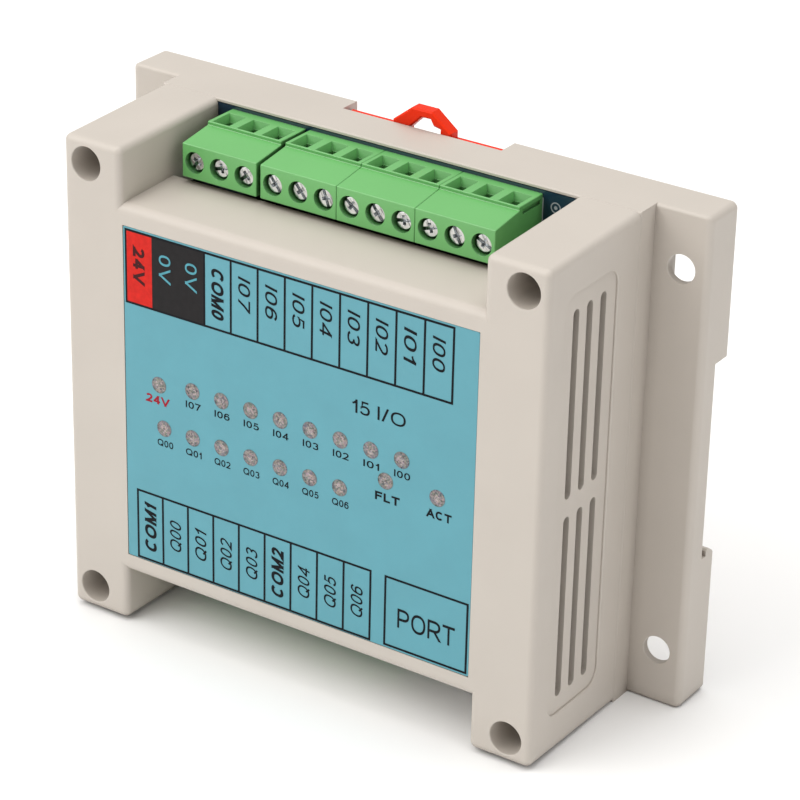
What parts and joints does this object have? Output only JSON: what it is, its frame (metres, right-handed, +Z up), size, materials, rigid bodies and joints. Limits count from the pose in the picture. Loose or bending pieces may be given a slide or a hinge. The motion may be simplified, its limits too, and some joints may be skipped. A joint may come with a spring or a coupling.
{
  "type": "plc module",
  "caption": "Small programmable logic controller in a DIN-rail box, with screw terminals on two edges, indicator windows, vented sides, screw-down flanges and a sliding rail clip.",
  "frame": {"origin": "centre of the box's footprint, on the plane of its bottom edge", "axes": "+X to the right across the front, +Y from the front label towards the back, +Z up"},
  "size_m": [0.115, 0.04, 0.0934],
  "materials": {
    "enclosure": "fine satin",
    "label": "satin film",
    "clip": "satin",
    "board": "solder mask",
    "terminal": "satin",
    "screw": "nickel plated",
    "clamp": "tin plated",
    "pin": "tin plated",
    "socket": "bright",
    "black_screw": "blackened",
    "led": "diffuse lens",
    "spacer": "plain",
    "chip": "moulded",
    "capacitor": "bright",
    "ferrite": "matt"
  },
  "bodies": {
    "root": {"front_cover": "enclosure", "rear_base": "enclosure", "front_label": "label", "main_board": "board", "input_terminal_housings": "terminal", "output_terminal_housings": "terminal", "terminal_contact_pins": "pin", "data_socket": "socket", "cover_screws": "black_screw", "board_screws": "screw", "indicator_leds": "led", "led_spacers": "spacer", "microcontroller": "chip", "optocouplers": "chip", "output_transistors": "chip", "supply_capacitors": "capacitor", "power_inductor": "ferrite"},
    "rail_clip": {"rail_clip": "clip"},
    "input_screw_01": {"input_screw_01": "screw"},
    "input_clamp_01": {"input_clamp_01": "clamp"},
    "input_screw_02": {"input_screw_02": "screw"},
    "input_clamp_02": {"input_clamp_02": "clamp"},
    "input_screw_03": {"input_screw_03": "screw"},
    "input_clamp_03": {"input_clamp_03": "clamp"},
    "input_screw_04": {"input_screw_04": "screw"},
    "input_clamp_04": {"input_clamp_04": "clamp"},
    "input_screw_05": {"input_screw_05": "screw"},
    "input_clamp_05": {"input_clamp_05": "clamp"},
    "input_screw_06": {"input_screw_06": "screw"},
    "input_clamp_06": {"input_clamp_06": "clamp"},
    "input_screw_07": {"input_screw_07": "screw"},
    "input_clamp_07": {"input_clamp_07": "clamp"},
    "input_screw_08": {"input_screw_08": "screw"},
    "input_clamp_08": {"input_clamp_08": "clamp"},
    "input_screw_09": {"input_screw_09": "screw"},
    "input_clamp_09": {"input_clamp_09": "clamp"},
    "input_screw_10": {"input_screw_10": "screw"},
    "input_clamp_10": {"input_clamp_10": "clamp"},
    "input_screw_11": {"input_screw_11": "screw"},
    "input_clamp_11": {"input_clamp_11": "clamp"},
    "input_screw_12": {"input_screw_12": "screw"},
    "input_clamp_12": {"input_clamp_12": "clamp"},
    "output_screw_01": {"output_screw_01": "screw"},
    "output_clamp_01": {"output_clamp_01": "clamp"},
    "output_screw_02": {"output_screw_02": "screw"},
    "output_clamp_02": {"output_clamp_02": "clamp"},
    "output_screw_03": {"output_screw_03": "screw"},
    "output_clamp_03": {"output_clamp_03": "clamp"},
    "output_screw_04": {"output_screw_04": "screw"},
    "output_clamp_04": {"output_clamp_04": "clamp"},
    "output_screw_05": {"output_screw_05": "screw"},
    "output_clamp_05": {"output_clamp_05": "clamp"},
    "output_screw_06": {"output_screw_06": "screw"},
    "output_clamp_06": {"output_clamp_06": "clamp"},
    "output_screw_07": {"output_screw_07": "screw"},
    "output_clamp_07": {"output_clamp_07": "clamp"},
    "output_screw_08": {"output_screw_08": "screw"},
    "output_clamp_08": {"output_clamp_08": "clamp"},
    "output_screw_09": {"output_screw_09": "screw"},
    "output_clamp_09": {"output_clamp_09": "clamp"}
  },
  "joints": [
    {"name": "rail_clip_pull", "type": "slide", "parent": "root", "child": "rail_clip", "axis": [0, 0, 1], "range_m": [0, 0.004], "stiffness_N_per_m": 800},
    {"name": "input_clamp_01_lift", "type": "slide", "parent": "root", "child": "input_clamp_01", "axis": [0, -1, 0], "range_m": [0, 0.0027]},
    {"name": "input_screw_01_turn", "type": "hinge", "parent": "root", "child": "input_screw_01", "pos_m": [-0.02996, -0.0062, 0.084], "axis": [0, 1, 0], "range_deg": [0, 2165]},
    {"name": "input_clamp_02_lift", "type": "slide", "parent": "root", "child": "input_clamp_02", "axis": [0, -1, 0], "range_m": [0, 0.0027]},
    {"name": "input_screw_02_turn", "type": "hinge", "parent": "root", "child": "input_screw_02", "pos_m": [-0.02488, -0.0062, 0.084], "axis": [0, 1, 0], "range_deg": [0, 2165]},
    {"name": "input_clamp_03_lift", "type": "slide", "parent": "root", "child": "input_clamp_03", "axis": [0, -1, 0], "range_m": [0, 0.0027]},
    {"name": "input_screw_03_turn", "type": "hinge", "parent": "root", "child": "input_screw_03", "pos_m": [-0.0198, -0.0062, 0.084], "axis": [0, 1, 0], "range_deg": [0, 2165]},
    {"name": "input_clamp_04_lift", "type": "slide", "parent": "root", "child": "input_clamp_04", "axis": [0, -1, 0], "range_m": [0, 0.0027]},
    {"name": "input_screw_04_turn", "type": "hinge", "parent": "root", "child": "input_screw_04", "pos_m": [-0.01396, -0.0062, 0.084], "axis": [0, 1, 0], "range_deg": [0, 2165]},
    {"name": "input_clamp_05_lift", "type": "slide", "parent": "root", "child": "input_clamp_05", "axis": [0, -1, 0], "range_m": [0, 0.0027]},
    {"name": "input_screw_05_turn", "type": "hinge", "parent": "root", "child": "input_screw_05", "pos_m": [-0.00888, -0.0062, 0.084], "axis": [0, 1, 0], "range_deg": [0, 2165]},
    {"name": "input_clamp_06_lift", "type": "slide", "parent": "root", "child": "input_clamp_06", "axis": [0, -1, 0], "range_m": [0, 0.0027]},
    {"name": "input_screw_06_turn", "type": "hinge", "parent": "root", "child": "input_screw_06", "pos_m": [-0.0038, -0.0062, 0.084], "axis": [0, 1, 0], "range_deg": [0, 2165]},
    {"name": "input_clamp_07_lift", "type": "slide", "parent": "root", "child": "input_clamp_07", "axis": [0, -1, 0], "range_m": [0, 0.0027]},
    {"name": "input_screw_07_turn", "type": "hinge", "parent": "root", "child": "input_screw_07", "pos_m": [0.00128, -0.0062, 0.084], "axis": [0, 1, 0], "range_deg": [0, 2165]},
    {"name": "input_clamp_08_lift", "type": "slide", "parent": "root", "child": "input_clamp_08", "axis": [0, -1, 0], "range_m": [0, 0.0027]},
    {"name": "input_screw_08_turn", "type": "hinge", "parent": "root", "child": "input_screw_08", "pos_m": [0.00636, -0.0062, 0.084], "axis": [0, 1, 0], "range_deg": [0, 2165]},
    {"name": "input_clamp_09_lift", "type": "slide", "parent": "root", "child": "input_clamp_09", "axis": [0, -1, 0], "range_m": [0, 0.0027]},
    {"name": "input_screw_09_turn", "type": "hinge", "parent": "root", "child": "input_screw_09", "pos_m": [0.01144, -0.0062, 0.084], "axis": [0, 1, 0], "range_deg": [0, 2165]},
    {"name": "input_clamp_10_lift", "type": "slide", "parent": "root", "child": "input_clamp_10", "axis": [0, -1, 0], "range_m": [0, 0.0027]},
    {"name": "input_screw_10_turn", "type": "hinge", "parent": "root", "child": "input_screw_10", "pos_m": [0.01652, -0.0062, 0.084], "axis": [0, 1, 0], "range_deg": [0, 2165]},
    {"name": "input_clamp_11_lift", "type": "slide", "parent": "root", "child": "input_clamp_11", "axis": [0, -1, 0], "range_m": [0, 0.0027]},
    {"name": "input_screw_11_turn", "type": "hinge", "parent": "root", "child": "input_screw_11", "pos_m": [0.0216, -0.0062, 0.084], "axis": [0, 1, 0], "range_deg": [0, 2165]},
    {"name": "input_clamp_12_lift", "type": "slide", "parent": "root", "child": "input_clamp_12", "axis": [0, -1, 0], "range_m": [0, 0.0027]},
    {"name": "input_screw_12_turn", "type": "hinge", "parent": "root", "child": "input_screw_12", "pos_m": [0.02668, -0.0062, 0.084], "axis": [0, 1, 0], "range_deg": [0, 2165]},
    {"name": "output_clamp_01_lift", "type": "slide", "parent": "root", "child": "output_clamp_01", "axis": [0, -1, 0], "range_m": [0, 0.0027]},
    {"name": "output_screw_01_turn", "type": "hinge", "parent": "root", "child": "output_screw_01", "pos_m": [-0.02896, -0.0062, 0.006], "axis": [0, 1, 0], "range_deg": [0, 2165]},
    {"name": "output_clamp_02_lift", "type": "slide", "parent": "root", "child": "output_clamp_02", "axis": [0, -1, 0], "range_m": [0, 0.0027]},
    {"name": "output_screw_02_turn", "type": "hinge", "parent": "root", "child": "output_screw_02", "pos_m": [-0.02388, -0.0062, 0.006], "axis": [0, 1, 0], "range_deg": [0, 2165]},
    {"name": "output_clamp_03_lift", "type": "slide", "parent": "root", "child": "output_clamp_03", "axis": [0, -1, 0], "range_m": [0, 0.0027]},
    {"name": "output_screw_03_turn", "type": "hinge", "parent": "root", "child": "output_screw_03", "pos_m": [-0.0188, -0.0062, 0.006], "axis": [0, 1, 0], "range_deg": [0, 2165]},
    {"name": "output_clamp_04_lift", "type": "slide", "parent": "root", "child": "output_clamp_04", "axis": [0, -1, 0], "range_m": [0, 0.0027]},
    {"name": "output_screw_04_turn", "type": "hinge", "parent": "root", "child": "output_screw_04", "pos_m": [-0.01372, -0.0062, 0.006], "axis": [0, 1, 0], "range_deg": [0, 2165]},
    {"name": "output_clamp_05_lift", "type": "slide", "parent": "root", "child": "output_clamp_05", "axis": [0, -1, 0], "range_m": [0, 0.0027]},
    {"name": "output_screw_05_turn", "type": "hinge", "parent": "root", "child": "output_screw_05", "pos_m": [-0.00864, -0.0062, 0.006], "axis": [0, 1, 0], "range_deg": [0, 2165]},
    {"name": "output_clamp_06_lift", "type": "slide", "parent": "root", "child": "output_clamp_06", "axis": [0, -1, 0], "range_m": [0, 0.0027]},
    {"name": "output_screw_06_turn", "type": "hinge", "parent": "root", "child": "output_screw_06", "pos_m": [-0.00356, -0.0062, 0.006], "axis": [0, 1, 0], "range_deg": [0, 2165]},
    {"name": "output_clamp_07_lift", "type": "slide", "parent": "root", "child": "output_clamp_07", "axis": [0, -1, 0], "range_m": [0, 0.0027]},
    {"name": "output_screw_07_turn", "type": "hinge", "parent": "root", "child": "output_screw_07", "pos_m": [0.00152, -0.0062, 0.006], "axis": [0, 1, 0], "range_deg": [0, 2165]},
    {"name": "output_clamp_08_lift", "type": "slide", "parent": "root", "child": "output_clamp_08", "axis": [0, -1, 0], "range_m": [0, 0.0027]},
    {"name": "output_screw_08_turn", "type": "hinge", "parent": "root", "child": "output_screw_08", "pos_m": [0.0066, -0.0062, 0.006], "axis": [0, 1, 0], "range_deg": [0, 2165]},
    {"name": "output_clamp_09_lift", "type": "slide", "parent": "root", "child": "output_clamp_09", "axis": [0, -1, 0], "range_m": [0, 0.0027]},
    {"name": "output_screw_09_turn", "type": "hinge", "parent": "root", "child": "output_screw_09", "pos_m": [0.01168, -0.0062, 0.006], "axis": [0, 1, 0], "range_deg": [0, 2165]}
  ],
  "couplings": [
    {"joint": "input_screw_01_turn", "follows": "input_clamp_01_lift", "rad_per_m": 13963},
    {"joint": "input_screw_02_turn", "follows": "input_clamp_02_lift", "rad_per_m": 13963},
    {"joint": "input_screw_03_turn", "follows": "input_clamp_03_lift", "rad_per_m": 13963},
    {"joint": "input_screw_04_turn", "follows": "input_clamp_04_lift", "rad_per_m": 13963},
    {"joint": "input_screw_05_turn", "follows": "input_clamp_05_lift", "rad_per_m": 13963},
    {"joint": "input_screw_06_turn", "follows": "input_clamp_06_lift", "rad_per_m": 13963},
    {"joint": "input_screw_07_turn", "follows": "input_clamp_07_lift", "rad_per_m": 13963},
    {"joint": "input_screw_08_turn", "follows": "input_clamp_08_lift", "rad_per_m": 13963},
    {"joint": "input_screw_09_turn", "follows": "input_clamp_09_lift", "rad_per_m": 13963},
    {"joint": "input_screw_10_turn", "follows": "input_clamp_10_lift", "rad_per_m": 13963},
    {"joint": "input_screw_11_turn", "follows": "input_clamp_11_lift", "rad_per_m": 13963},
    {"joint": "input_screw_12_turn", "follows": "input_clamp_12_lift", "rad_per_m": 13963},
    {"joint": "output_screw_01_turn", "follows": "output_clamp_01_lift", "rad_per_m": 13963},
    {"joint": "output_screw_02_turn", "follows": "output_clamp_02_lift", "rad_per_m": 13963},
    {"joint": "output_screw_03_turn", "follows": "output_clamp_03_lift", "rad_per_m": 13963},
    {"joint": "output_screw_04_turn", "follows": "output_clamp_04_lift", "rad_per_m": 13963},
    {"joint": "output_screw_05_turn", "follows": "output_clamp_05_lift", "rad_per_m": 13963},
    {"joint": "output_screw_06_turn", "follows": "output_clamp_06_lift", "rad_per_m": 13963},
    {"joint": "output_screw_07_turn", "follows": "output_clamp_07_lift", "rad_per_m": 13963},
    {"joint": "output_screw_08_turn", "follows": "output_clamp_08_lift", "rad_per_m": 13963},
    {"joint": "output_screw_09_turn", "follows": "output_clamp_09_lift", "rad_per_m": 13963}
  ]
}
